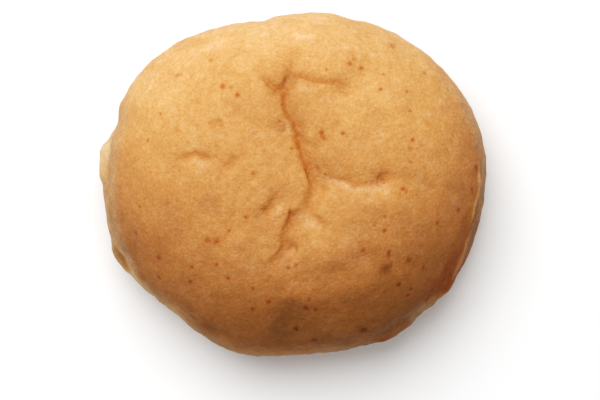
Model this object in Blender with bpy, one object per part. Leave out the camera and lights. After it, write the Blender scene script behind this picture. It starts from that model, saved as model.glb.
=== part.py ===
# A soft slider bun, baked in one piece: a low oval crown with a puckered top, a paler side that
# bulges out under the crown's edge, and a flat base. Metres, +Z up. The origin is on the flat base,
# under the middle of the bun. +X runs across the bun's long way and -Y is its front.

import math

import bmesh
import bpy
from mathutils import Vector, kdtree, noise

MM = 0.001

# Driving sizes
WIDTH = 81.0 * MM
DEPTH = 72.0 * MM
HEIGHT = 34.0 * MM
BELLY_HEIGHT = 11.5 * MM
BASE_SHARE = 0.77
CROWN_FULLNESS = 2.25

# The mesh: a ball of quads, cut finer across the top than down the side
TOP_QUADS = 42
SIDE_QUADS = 21
BELLY_ANGLE = math.radians(103)
BASE_ANGLE = math.radians(135)

# Slow unevenness of the dough: (size of the waves, their height)
UNEVENNESS = ((17.0 * MM, 0.5 * MM), (7.5 * MM, 0.3 * MM))
UNEVENNESS_OFFSET = Vector((3.7, 1.9, 5.2))

# Swells and hollows of the outline, over the whole side:
# (azimuth from +X and half width, in degrees, and how far out)
OUTLINE_SWELLS = (
    (30, 30, 1.1 * MM),
    (66, 14, 0.3 * MM),
    (101, 13, -1.2 * MM),
    (144, 22, 1.9 * MM),
    (193, 12, 0.3 * MM),
    (227, 12, -1.4 * MM),
    (253, 10, 0.6 * MM),
    (282, 17, -1.1 * MM),
    (346, 16, -0.9 * MM),
)

# Folds of the side: (azimuth, half width, in degrees, height, half height, how far out)
SIDE_FOLDS = (
    # At the left, a notch, a lobe under the crown's edge and the corner of the lower edge
    (161, 4, 14.0 * MM, 9.0 * MM, -1.4 * MM),
    (172, 7, 9.5 * MM, 4.5 * MM, 1.4 * MM),
    (201, 6, 9.0 * MM, 4.5 * MM, 1.6 * MM),
    # At the front left, the groove between the crown's edge and the lower edge
    (206, 10, 14.0 * MM, 2.6 * MM, -0.8 * MM),
    # At the right, the crown's edge over a groove, and the lower wall that bulges out below
    (351, 17, 19.0 * MM, 2.2 * MM, 0.25 * MM),
    (349, 21, 14.5 * MM, 2.4 * MM, -1.0 * MM),
    (358, 18, 9.5 * MM, 4.0 * MM, 0.5 * MM),
    # Two ears of crust at the front right, with a dip between them
    (326, 5, 14.0 * MM, 5.5 * MM, 1.3 * MM),
    (315, 5, 13.0 * MM, 7.0 * MM, -0.4 * MM),
    (302, 6, 13.0 * MM, 5.0 * MM, 1.0 * MM),
)

# Creases of the puckered top: (path over the crown in plan, half widths on the left and on the right
# of the path, all in mm, and depth)
CREASES = (
    # The long crease from back to front: a steep drop on its left and a broad floor on its right
    (((-2.0, 20.5), (-2.5, 17.6), (-1.4, 14.9), (0.3, 12.0)), 2.0, 1.1, 0.8 * MM),
    (((0.3, 12.0), (0.7, 9.0), (1.7, 6.2), (3.1, 3.2), (4.2, 0.2)), 2.4, 1.0, 1.2 * MM),
    (((4.2, 0.2), (3.3, -1.8), (2.7, -4.8)), 1.0, 1.6, 0.6 * MM),
    # The crease that runs from its middle to the right
    (((4.7, 2.1), (8.5, 1.3), (13.0, 0.1), (17.5, 0.0), (22.0, 0.8), (25.0, 1.5)), 2.2, 1.3, 0.8 * MM),
    # Its fork at the front
    (((2.7, -4.8), (0.2, -6.1), (-0.9, -8.4), (-1.9, -12.2), (-3.4, -15.0), (-5.0, -17.0)),
     1.8, 1.2, 0.8 * MM),
    (((3.0, -5.2), (4.6, -7.1), (8.0, -9.0)), 1.1, 1.1, 0.3 * MM),
    # Its two arms at the back, and a notch between them
    (((-8.2, 22.6), (-6.0, 20.9), (-3.8, 19.2), (-2.0, 19.6)), 1.5, 1.5, 0.9 * MM),
    (((-0.6, 22.1), (2.0, 21.5), (4.9, 20.6), (8.5, 19.7), (11.7, 20.7), (13.4, 23.0)),
     1.5, 2.4, 0.8 * MM),
    (((-0.4, 25.0), (-0.7, 22.6), (-1.9, 19.8)), 1.1, 1.4, 0.7 * MM),
    # The edge of a hollow at the right of the long crease
    (((9.8, 14.2), (8.3, 12.5), (6.8, 9.5), (5.6, 7.2)), 1.4, 1.6, 0.35 * MM),
    # Short troughs on the left half
    (((-7.4, -6.4), (-5.2, -5.2), (-3.2, -3.2), (-1.7, -0.4)), 1.3, 1.4, 0.65 * MM),
    (((-23.6, 5.7), (-21.5, 5.7), (-19.5, 5.6), (-17.0, 5.3)), 1.3, 1.0, 0.5 * MM),
    (((-17.0, 5.3), (-14.4, 4.4), (-12.4, 4.8), (-10.2, 6.2)), 1.2, 1.1, 0.25 * MM),
    (((-13.4, 14.6), (-10.0, 13.3), (-7.5, 13.1), (-3.4, 12.2)), 1.2, 1.6, 0.25 * MM),
    (((-11.2, -3.0), (-11.8, -5.6), (-12.8, -8.8), (-15.5, -11.8), (-18.0, -11.5)),
     1.4, 1.1, 0.25 * MM),
    # The soft valley down the front
    (((-0.6, -22.6), (-1.4, -25.5), (-1.8, -28.7), (-3.0, -33.4)), 3.0, 2.4, 0.9 * MM),
)
CREASE_PULL = 0.8
CREASE_PULL_WIDTH = 0.75 * MM
PULLED_CREASES = 1.2 * MM

# Dimples and humps of the crown: (x, y and half width, in mm, and how far up)
DIMPLES = (
    (3.0, 5.0, 11.0, -0.8 * MM),
    (3.4, 12.0, 3.0, -0.4 * MM),
    (18.3, 1.9, 1.6, -0.7 * MM),
    (18.6, -16.9, 1.7, -0.5 * MM),
    (9.0, -17.0, 1.9, -0.35 * MM),
    (-0.3, -12.2, 1.3, -0.4 * MM),
    (2.2, 19.2, 2.2, 0.35 * MM),
    (7.0, 6.0, 2.4, 0.3 * MM),
    (12.0, -4.2, 4.2, 0.35 * MM),
    (17.6, -3.6, 3.6, 0.35 * MM),
    (-2.4, -5.6, 2.0, 0.4 * MM),
    (3.0, -8.6, 2.8, 0.35 * MM),
    (11.0, -12.0, 2.2, 0.3 * MM),
    (14.2, -16.6, 1.6, 0.3 * MM),
    (-20.2, 3.0, 3.0, 0.25 * MM),
    (-13.4, -10.4, 2.4, 0.25 * MM),
    (-4.0, -18.8, 2.2, 0.3 * MM),
    (1.9, -22.2, 3.2, 0.7 * MM),
    (9.2, -19.8, 2.6, 0.3 * MM),
)

CRUST_COLOR = (0.62, 0.31, 0.10, 1.0)
CRUST_ROUGHNESS = 0.55


def clear_scene():
    for old in list(bpy.data.objects):
        bpy.data.objects.remove(old)


def bell(distance, half_width):
    """1 at the middle, easing to nothing within about two half widths."""
    return math.exp(-((distance / half_width) ** 2))


def turn_between(azimuth, middle_degrees):
    """The turn in degrees from middle_degrees round to the azimuth, from -180 to 180."""
    return (math.degrees(azimuth) - middle_degrees + 180) % 360 - 180


def outline_reach(azimuth):
    """How far the side stands from the middle in that direction."""
    oval = 1 / math.hypot(2 * math.cos(azimuth) / WIDTH, 2 * math.sin(azimuth) / DEPTH)
    swells = sum(
        push * bell(turn_between(azimuth, middle), half_width)
        for middle, half_width, push in OUTLINE_SWELLS
    )
    return oval + swells


def section(polar):
    """The bun's section from the top of the crown down to the middle of the base:
    (reach, as a share of the outline's, and height above the base)."""
    if polar <= BELLY_ANGLE:
        along = math.pi / 2 * polar / BELLY_ANGLE
        reach = math.sin(along) ** (2 / CROWN_FULLNESS)
        rise = max(0.0, math.cos(along)) ** (2 / CROWN_FULLNESS)
        return reach, BELLY_HEIGHT + (HEIGHT - BELLY_HEIGHT) * rise
    if polar <= BASE_ANGLE:
        along = math.pi / 2 * (polar - BELLY_ANGLE) / (BASE_ANGLE - BELLY_ANGLE)
        reach = BASE_SHARE + (1 - BASE_SHARE) * math.cos(along)
        return reach, BELLY_HEIGHT * (1 - math.sin(along))
    return BASE_SHARE * math.tan(math.pi - polar), 0.0


def smooth_form(direction):
    """The point of the smooth form that lies that way from the middle of the ball of quads."""
    azimuth = math.atan2(direction.y, direction.x)
    reach, height = section(math.acos(max(-1.0, min(1.0, direction.z))))
    reach *= outline_reach(azimuth)
    return Vector((reach * math.cos(azimuth), reach * math.sin(azimuth), height))


def side_push(point):
    """How far the folds of the side push a point out."""
    azimuth = math.atan2(point.y, point.x)
    share = point.to_2d().length / outline_reach(azimuth)
    nearness = max(0.0, min(1.0, (share - BASE_SHARE) / (1 - BASE_SHARE)))
    return nearness * sum(
        far * bell(turn_between(azimuth, middle), half_width) * bell(point.z - height, half_height)
        for middle, half_width, height, half_height, far in SIDE_FOLDS
    )


def smooth_path(stops, steps=12):
    """Points close together along a smooth curve through the stops, which are in millimetres."""
    stops = [Vector((x * MM, y * MM)) for x, y in stops]
    stops = [stops[0] * 2 - stops[1], *stops, stops[-1] * 2 - stops[-2]]
    points = []
    for before, start, end, after in zip(stops, stops[1:], stops[2:], stops[3:]):
        for step in range(steps):
            t = step / steps
            bend = 2 * before - 5 * start + 4 * end - after
            twist = 3 * start - before - 3 * end + after
            points.append(start + 0.5 * ((end - before) * t + bend * t ** 2 + twist * t ** 3))
    return points + [stops[-2]]


class Crease:
    """A crease or trough that is pressed into the crown along a path."""

    def __init__(self, stops, left_width, right_width, depth):
        self.left_width = left_width * MM
        self.right_width = right_width * MM
        self.depth = depth
        self.points = smooth_path(stops)
        self.tree = kdtree.KDTree(len(self.points))
        for index, point in enumerate(self.points):
            self.tree.insert(point.to_3d(), index)
        self.tree.balance()

    def nearest(self, spot):
        """The index of the path's nearest point, how far off it is, and how strong the crease
        is there."""
        index, distance = self.tree.find(spot.to_3d())[1:]
        along = index / (len(self.points) - 1)
        strength = min(1.0, 4 * along + 0.3, 4 * (1 - along) + 0.3)
        return index, distance, strength

    def width_at(self, spot, index):
        """The half width on the spot's side of the path."""
        before = self.points[max(0, index - 1)]
        after = self.points[min(len(self.points) - 1, index + 1)]
        on_left = (after - before).cross(spot - self.points[index]) > 0
        return self.left_width if on_left else self.right_width

    def drop(self, spot):
        index, distance, strength = self.nearest(spot)
        return self.depth * strength * bell(distance, self.width_at(spot, index))


def crown_relief(spot, creases):
    """How far dimples, humps and creases move the crown up at a spot in plan."""
    lift = sum(
        up * bell((spot - Vector((x, y)) * MM).length, half_width * MM)
        for x, y, half_width, up in DIMPLES
    )
    return lift - sum(crease.drop(spot) for crease in creases)


def unevenness(point):
    return sum(
        height * noise.noise(point / size + UNEVENNESS_OFFSET) for size, height in UNEVENNESS
    )


def ball_of_quads():
    """A cube cut into a grid and blown up to a ball of radius 1."""
    ball = bmesh.new()
    bmesh.ops.create_cube(ball, size=2)
    upright = [e for e in ball.edges if abs(e.verts[0].co.z - e.verts[1].co.z) > 1]
    bmesh.ops.subdivide_edges(ball, edges=upright, cuts=SIDE_QUADS - 1)
    level = [e for e in ball.edges if abs(e.verts[0].co.z - e.verts[1].co.z) < 1e-6]
    bmesh.ops.subdivide_edges(ball, edges=level, cuts=TOP_QUADS - 1, use_grid_fill=True)
    for vert in ball.verts:
        # Equal turns from quad to quad, so that those near the cube's edges aren't small
        vert.co = Vector([math.tan(math.pi / 4 * part) for part in vert.co]).normalized()
    return ball


def draw_to_creases(ball, creases):
    """Draws the vertices beside a narrow crease onto its line, so that its bottom is clean."""
    for vert in ball.verts:
        if vert.co.z < BELLY_HEIGHT:
            continue
        for crease in creases:
            if min(crease.left_width, crease.right_width) > PULLED_CREASES:
                continue
            index, distance, strength = crease.nearest(vert.co.to_2d())
            pull = CREASE_PULL * strength * bell(distance, CREASE_PULL_WIDTH)
            vert.co.xy = vert.co.xy.lerp(crease.points[index], pull)


def shape_bun(ball, creases):
    for vert in ball.verts:
        vert.co = smooth_form(vert.co)
    draw_to_creases(ball, creases)
    ball.normal_update()
    for vert in ball.verts:
        off_base = min(1.0, vert.co.z / BELLY_HEIGHT)
        if off_base == 0:
            continue
        above_belly = max(0.0, min(1.0, (vert.co.z - BELLY_HEIGHT) / BELLY_HEIGHT))
        push = side_push(vert.co) + unevenness(vert.co) * off_base
        push += crown_relief(vert.co.to_2d(), creases) * above_belly
        vert.co += vert.normal * push
        vert.co.z = max(0.0, vert.co.z)


def fit_to_size(ball):
    """Brings the bun to its named size, with its middle over the origin and its base at 0."""
    low = Vector([min(vert.co[axis] for vert in ball.verts) for axis in range(3)])
    high = Vector([max(vert.co[axis] for vert in ball.verts) for axis in range(3)])
    middle = (low + high) / 2
    bmesh.ops.translate(ball, vec=(-middle.x, -middle.y, -low.z), verts=ball.verts)
    size = high - low
    bmesh.ops.scale(ball, vec=(WIDTH / size.x, DEPTH / size.y, HEIGHT / size.z), verts=ball.verts)


def crust_material():
    crust = bpy.data.materials.new("crust")
    crust.use_nodes = True
    shader = crust.node_tree.nodes["Principled BSDF"]
    shader.inputs["Base Color"].default_value = CRUST_COLOR
    shader.inputs["Roughness"].default_value = CRUST_ROUGHNESS
    shader.inputs["Metallic"].default_value = 0.0
    return crust


def make_bun():
    creases = [Crease(*crease) for crease in CREASES]
    ball = ball_of_quads()
    shape_bun(ball, creases)
    fit_to_size(ball)
    mesh = bpy.data.meshes.new("bun")
    ball.to_mesh(mesh)
    ball.free()
    mesh.shade_smooth()
    mesh.materials.append(crust_material())
    collection = bpy.data.collections.new("slider_bun")
    bpy.context.scene.collection.children.link(collection)
    collection.objects.link(bpy.data.objects.new("bun", mesh))


clear_scene()
make_bun()
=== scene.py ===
# A soft slider bun on a pale floor, seen from straight above: its folded and puckered crust, with
# the paler side, the browner shoulders and the freckles. Image right is +X and image up is +Y.
import math

import bpy
import numpy as np
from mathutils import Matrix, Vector, kdtree, noise


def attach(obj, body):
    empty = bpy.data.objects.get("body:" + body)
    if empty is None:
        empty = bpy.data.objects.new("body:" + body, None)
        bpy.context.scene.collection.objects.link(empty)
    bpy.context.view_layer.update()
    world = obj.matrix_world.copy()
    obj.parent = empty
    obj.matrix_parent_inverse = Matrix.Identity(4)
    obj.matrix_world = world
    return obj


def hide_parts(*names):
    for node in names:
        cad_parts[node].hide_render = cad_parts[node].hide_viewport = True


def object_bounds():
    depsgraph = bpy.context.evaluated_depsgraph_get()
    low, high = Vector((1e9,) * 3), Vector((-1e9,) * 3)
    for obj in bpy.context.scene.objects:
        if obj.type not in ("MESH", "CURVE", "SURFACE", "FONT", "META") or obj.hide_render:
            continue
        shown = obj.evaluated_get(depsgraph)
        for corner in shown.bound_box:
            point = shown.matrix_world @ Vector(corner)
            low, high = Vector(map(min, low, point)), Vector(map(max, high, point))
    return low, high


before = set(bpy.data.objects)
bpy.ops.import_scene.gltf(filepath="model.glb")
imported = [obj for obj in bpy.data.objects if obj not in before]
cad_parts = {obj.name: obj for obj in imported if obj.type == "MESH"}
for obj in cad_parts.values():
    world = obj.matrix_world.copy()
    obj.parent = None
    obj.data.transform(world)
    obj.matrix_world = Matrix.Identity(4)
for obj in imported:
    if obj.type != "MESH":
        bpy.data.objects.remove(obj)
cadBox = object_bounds()
mm = 0.001
print("frame loaded, its box is", cadBox)


def deselectAll():
    if bpy.context.object and bpy.context.object.mode != "OBJECT":
        bpy.ops.object.mode_set(mode="OBJECT")
    bpy.ops.object.select_all(action="DESELECT")


def makeActive(piece):
    deselectAll()
    piece.select_set(True)
    bpy.context.view_layer.objects.active = piece


def applyModifier(piece, kind, name, **values):
    makeActive(piece)
    modifier = piece.modifiers.new(name, kind)
    for key, value in values.items():
        setattr(modifier, key, value)
    bpy.ops.object.modifier_apply(modifier=modifier.name)


# Faces are chosen by a mask, and the object is left in edit mode
def chooseFaces(piece, chosen):
    makeActive(piece)
    bpy.ops.object.mode_set(mode="EDIT")
    bpy.ops.mesh.select_mode(type="FACE")
    bpy.ops.mesh.select_all(action="DESELECT")
    bpy.ops.object.mode_set(mode="OBJECT")
    piece.data.polygons.foreach_set("select", chosen)
    bpy.ops.object.mode_set(mode="EDIT")


def readRows(what, name):
    values = np.empty(len(what) * 3)
    what.foreach_get(name, values)
    return values.reshape(-1, 3)


def ease(value, low, high):
    share = np.clip((value - low) / (high - low), 0, 1)
    return share * share * (3 - 2 * share)


def bell(distance, halfWidth):
    return np.exp(-(distance / halfWidth) ** 2)


# Offsets in plan as seen from an axis turned by some degrees: how far along it, how far across it
def turned(offX, offY, degrees):
    turn = math.radians(degrees)
    along = offX * math.cos(turn) + offY * math.sin(turn)
    across = offY * math.cos(turn) - offX * math.sin(turn)
    return along, across


def smoothPath(stops, steps=14, closed=False):
    stops = np.array(stops, float)
    if closed:
        stops = np.vstack([stops[-1], stops, stops[0], stops[1]])
    else:
        stops = np.vstack([2 * stops[0] - stops[1], stops, 2 * stops[-1] - stops[-2]])
    t = (np.arange(steps) / steps)[:, None]
    parts = []
    for before, start, end, after in zip(stops, stops[1:], stops[2:], stops[3:]):
        bend = 2 * before - 5 * start + 4 * end - after
        twist = 3 * start - before - 3 * end + after
        parts.append(start + 0.5 * ((end - before) * t + bend * t ** 2 + twist * t ** 3))
    return np.vstack([*parts, stops[-2][None]])


# A path moved sideways in plan
def beside(stops, leftward):
    stops = np.array(stops, float)
    way = np.gradient(stops, axis=0)
    way /= np.linalg.norm(way, axis=1)[:, None]
    return stops + leftward * np.column_stack([-way[:, 1], way[:, 0]])


# For the places within reach of a path: how far off it, how far to its left, and how far along it
def alongPath(places, stops, farthest):
    path = smoothPath(stops)
    low, high = path.min(axis=0) - farthest, path.max(axis=0) + farthest
    near = np.nonzero(np.all((places > low) & (places < high), axis=1))[0]
    off = places[near][:, None, :] - path[None]
    square = (off ** 2).sum(axis=2)
    best = square.argmin(axis=1)
    distance = np.sqrt(square[np.arange(len(near)), best])
    way = np.gradient(path, axis=0)[best]
    way /= np.linalg.norm(way, axis=1)[:, None]
    nearOff = off[np.arange(len(near)), best]
    leftward = way[:, 0] * nearOff[:, 1] - way[:, 1] * nearOff[:, 0]
    return near, distance, leftward, best / (len(path) - 1)


# How a line acts: out to how many half widths, over how many mm its left width turns into its
# right one, and over which share of its length a free end eases off
lineShape = {
    "reach": 2.6,
    "sideBlend": 0.15,
    "endShare": 0.25,
}


# How strongly a line acts along its length: full in the middle, easing off at its free ends
def fade(along, startLeft, endLeft):
    start = startLeft + (1 - startLeft) * ease(along, 0, lineShape["endShare"])
    end = endLeft + (1 - endLeft) * ease(1 - along, 0, lineShape["endShare"])
    return start * end


def lineMask(places, stops, leftWidth, rightWidth, ends=(0, 0), power=2.0):
    mask = np.zeros(len(places))
    reach = lineShape["reach"] * max(leftWidth, rightWidth)
    near, distance, leftward, along = alongPath(places, stops, reach)
    leftShare = 0.5 + 0.5 * np.tanh(leftward / lineShape["sideBlend"])
    width = rightWidth + (leftWidth - rightWidth) * leftShare
    mask[near] = fade(along, *ends) * np.exp(-(distance / width) ** power)
    return mask


def bumpMask(places, middleX, middleY, radiusX, radiusY, turn):
    along, across = turned(places[:, 0] - middleX, places[:, 1] - middleY, turn)
    return np.exp(-(along / radiusX) ** 2 - (across / radiusY) ** 2)


# The lines of the puckered top, in mm in plan: path, half width on the left and on the right,
# height (a crease is below nought), how much of it is left at its ends, and how far it is
# caramelized and darkened with painted shade in the crease, or below nought how far it is
# stretched pale and lit with a painted highlight
folds = {
    "long, back": (
        [(-2, 20.2), (-2, 18.6), (-1.4, 16.7), (-0.8, 14.5), (0.2, 12.7), (0.9, 11.3)],
        0.9, 0.6, -0.27, (0.6, 0.8), 0.15),
    "long, middle": (
        [(0.8, 11.7), (1.1, 9.7), (1.5, 7.5), (2.4, 5.1), (3.3, 2.7), (3.7, 0.7)],
        1.6, 0.5, -0.5, (0.7, 0.7), 0.3),
    "long, baked back": (
        [(-2, 19.8), (-2.1, 18), (-1.7, 16.1), (-1.3, 14.1), (-0.7, 12.9)],
        0.5, 0.5, 0, (0.6, 1), 0.8),
    "long, baked": (
        [(-1, 13.7), (-0.1, 12.3), (0.5, 10.7), (0.7, 8.9), (1, 7.5)], 0.85, 0.5, 0, (0.8, 1), 1),
    "long, baked front": (
        [(1.4, 7.3), (2, 5.7), (2.6, 4.1), (3.4, 2.5), (4, 0.9)], 1.05, 0.95, 0, (0.3, 0.6), 0.8),
    "long, pit": (
        [(2.6, 4.2), (3.4, 2.2), (4, 0.6), (4.3, -0.4)], 1.01, 0.65, -0.4, (0.2, 0.3), 0.4),
    "long, front": (
        [(3.5, 0.4), (3, -1.5), (2.7, -3.2), (2.6, -4.9)], 0.35, 0.74, 0.03, (0.5, 0.4), 0.55),
    "right": (
        [(5, 1.7), (7.4, 1.2), (9.8, 0.8), (12.5, 0.2), (15.3, -0.4), (18.5, 0.3)],
        0.7, 0.6, -0.54, (0.5, 0.6), 0.42),
    "right tick": ([(4.3, 3.8), (5.1, 2.5)], 0.35, 0.4, -0.1, (0.5, 0.5), 0.7),
    "fork": (
        [(2.1, -4.7), (0.8, -6.1), (-0.2, -7.3), (-1.6, -9), (-1.8, -11.2), (-2.1, -13.7),
         (-3.8, -15.1)],
        1.46, 0.66, -0.42, (0.3, 0.3), 0.45),
    "fork, right": (
        [(3.6, -5.5), (4.3, -6.5), (5.7, -7.6), (7, -8.4)], 0.43, 0.9, -0.2, (0.4, 0.1), 0.55),
    "back, left arm": (
        [(-7.5, 22), (-5.3, 20.7), (-3.7, 19.5), (-2, 19.1)], 0.84, 0.55, -0.42, (0, 0.8), 0.55),
    "back, notch": (
        [(-0.2, 25.2), (-0.7, 23.5), (-0.9, 21.9), (-1.9, 19.8)], 0.55, 0.85, -0.26, (0, 0.5), 0.6),
    "back, right arm": (
        [(-0.4, 21.9), (1.9, 21.5), (4.5, 21.1), (7.6, 20.3), (10.7, 20.5)],
        0.9, 0.25, -0.43, (0.5, 0), 0.7),
    "left trough": (
        [(-6.4, -6.3), (-5.1, -4.9), (-3.9, -3.1), (-2.7, -0.9)], 0.95, 0.8, -0.48, (0.2, 0), 0.55),
    "left wrinkle": (
        [(-23.2, 4.9), (-21.9, 5.5), (-20.5, 5.9), (-18.9, 5.8), (-17.3, 5.3), (-15.5, 4.7)],
        0.75, 0.7, -0.28, (0.3, 0.1), 0.65),
    "left wrinkle, ridge": (
        [(-19.9, 4.3), (-18.5, 4.1), (-17.1, 4)], 0.45, 0.5, 0.14, (0.1, 0), -0.25),
    "front left edge": (
        [(-21.7, -26.4), (-19.6, -28), (-17.5, -29.5), (-15.5, -30.7)],
        0.5, 0.5, 0, (0.2, 0.2), 0.45),
    "slit, dark": (
        [(-37.1, -13.2), (-36, -14.8), (-34.6, -16.7), (-33.1, -18.8)],
        0.28, 0.28, 0, (0.8, 0.2), 0.9),
    "left wrinkle, tail": (
        [(-15.4, 4.6), (-14, 4.5), (-12.3, 4.8), (-10.4, 6.4)], 0.44, 0.8, -0.05, (0, 0), 0.3),
    "flap": ([(-1, 12.2), (-1.3, 11.2), (-1.7, 10)], 0.3, 0.44, -0.08, (0, 0), 0),
    "flap hollow": (
        [(-9.8, 13.2), (-7.6, 13.3), (-5.9, 12.8), (-3.3, 12.1), (-2.1, 10.9)],
        0.75, 1.28, -0.13, (0, 0.4), 0.2),
    "left slant": ([(-11.4, -3.2), (-11.7, -5.2), (-12.4, -7.2)], 0.55, 0.44, -0.09, (0, 0), 0.2),
    "left slant, end": (
        [(-14.6, -10.8), (-15.8, -11.5), (-17.6, -11.2)], 0.63, 0.48, -0.04, (0, 0), 0.45),
    "basin edge": ([(9.4, 13.4), (8.3, 12.4), (7, 12.2)], 1.09, 0.64, -0.06, (0, 0), 0.35),
    "far left": ([(-17.4, 12.2), (-15.6, 11.9), (-14, 12.9)], 0.61, 0.48, -0.45, (0, 0), 0.5),
    "right, hollow": (
        [(5.6, 1.1), (8, 0.4), (10.6, -0.4), (13.4, -1.2), (16.6, -1.7), (19.4, -1.5)],
        0.72, 1.4, -0.45, (0, 0.2), -0.2),
    "flap, curl": (
        [(-0.6, 12.6), (-0.7, 11.6), (-1.3, 10.4), (-2, 9.8)], 0.31, 0.3, -0.03, (0, 0), -0.24),
    "flap, ridge": (
        [(-10.2, 8.5), (-8, 9.6), (-5.4, 10.4), (-2.4, 9.8)], 0.48, 0.81, -0.18, (0, 0), 0),
    "fork, lobe": ([(2, -6.2), (2.9, -7.4), (4.6, -8.6)], 0.79, 0.82, -0.14, (0, 0), -0.48),
    "front crest": (
        [(-2.1, -21.1), (0.4, -22), (3.3, -21.2), (5.6, -20.2)], 0.73, 3.43, 0.29, (0, 0), 0.1),
    "right, bright lip": (
        [(4.8, 2.1), (6.6, 1.5), (8.6, 0.7), (10.4, 0.1), (11.8, -0.7), (13, -1.1)],
        0.28, 0.4, 0.2, (0.4, 0.3), -0.8),
    "right, lip end": (
        [(13.4, -1.1), (15.2, -0.7), (17, -0.5), (19.4, -1.1)], 0.38, 0.6, 0.07, (0.3, 0), -0.64),
    "flap, bright curl": (
        [(-1.8, 13.3), (-1, 12.1), (-1.2, 10.9), (-2, 9.7)], 0.25, 0.24, 0.17, (0.2, 0.2), -0.5),
    "flap, edge": (
        [(-8.6, 8.8), (-7, 9.5), (-5.4, 9.9), (-3.4, 10.1), (-2, 9.7)],
        0.31, 0.3, 0.2, (0, 0.5), -0.25),
    "basin, back": (
        [(11.5, 20.2), (10.2, 18), (8.4, 15.7), (6.4, 13.3), (4.8, 10.9)],
        1.01, 1.2, 0.03, (0, 0), 0.2),
    "slant 1": ([(-13, 3.3), (-11, 5.1), (-8.6, 6.8)], 0.38, 0.6, -0.08, (0, 0), 0.3),
    "slant 2": ([(-12.2, -0.6), (-9.3, 2.2), (-6.2, 4.6)], 0.36, 0.71, -0.1, (0, 0), 0.15),
    "slant 3": ([(-10.4, -3.3), (-7.4, -0.6), (-3.4, 2.4)], 0.4, 0.62, -0.03, (0, 0), 0.15),
    "slant 4": ([(-13.8, 6.5), (-11, 7.9), (-7.8, 9.1)], 0.37, 0.51, -0.07, (0, 0), 0.1),
    "orange band": ([(-14.4, 3.5), (-12.8, 4.9), (-11, 6.3)], 0.97, 0.91, 0.15, (0, 0), 0.5),
    "streak 1": ([(0.2, -11.8), (-1.2, -14.4), (-3.4, -16.8)], 0.35, 0.49, -0.05, (0, 0), -0.32),
    "streak 2": ([(1.6, -13.2), (0.6, -15.6), (-1.8, -17.6)], 0.35, 0.5, 0.05, (0, 0), -0.24),
}

# Small dimples and bumps, in mm: x, y, radius along and across, its turn in degrees, and how far up
dimples = [
    (-3.1, -5.6, 1.3, 0.55, 55, 0.34), (18.2, 1.1, 1.05, 1.45, 19, -0.6),
    (19.2, -14.2, 0.81, 0.9, 0, -0.15), (14, -13.7, 0.82, 1.06, 2, -0.1),
    (23.2, -15.2, 0.83, 0.82, 0, 0.07), (-0.3, -13, 0.74, 1.46, 174, -0.76),
    (-0.5, -6, 0.31, 0.85, 18, -0.66), (7.1, 1.3, 0.66, 0.65, 178, -0.18),
    (11.9, 1.4, 1.33, 0.85, 158, -0.25), (8.9, -17.3, 1.04, 1.14, 2, -0.15),
    (5.9, 9.5, 0.77, 0.8, 0, -0.08), (10.7, 19.4, 1.86, 0.97, 6, -0.48),
    (3.3, 19, 2.49, 1.06, 171, -0.18), (-4.2, 10.8, 5.66, 0.92, 157, -0.55),
    (-1.1, 19.6, 3.28, 1.17, 9, -0.34), (-2.5, 18.7, 2.99, 0.91, 84, 0.19),
    (1.8, 2.9, 3.32, 0.97, 84, -0.43), (-1.1, -3.7, 3.11, 0.95, 30, -0.31),
    (6.5, -17.7, 3.13, 0.85, 30, 0.17), (-13.8, 2.8, 3.13, 0.88, 59, -0.32),
    (3.9, -3.5, 1.98, 0.68, 84, 0.27), (17.4, 1.7, 1.01, 0.97, 0, 0.31),
    (-2, -21.4, 3.51, 0.88, 2, -0.18), (-1.1, -17.2, 1.01, 0.97, 0, -0.36),
    (-4, -2, 2.06, 0.65, 53, -0.21),
]

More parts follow.
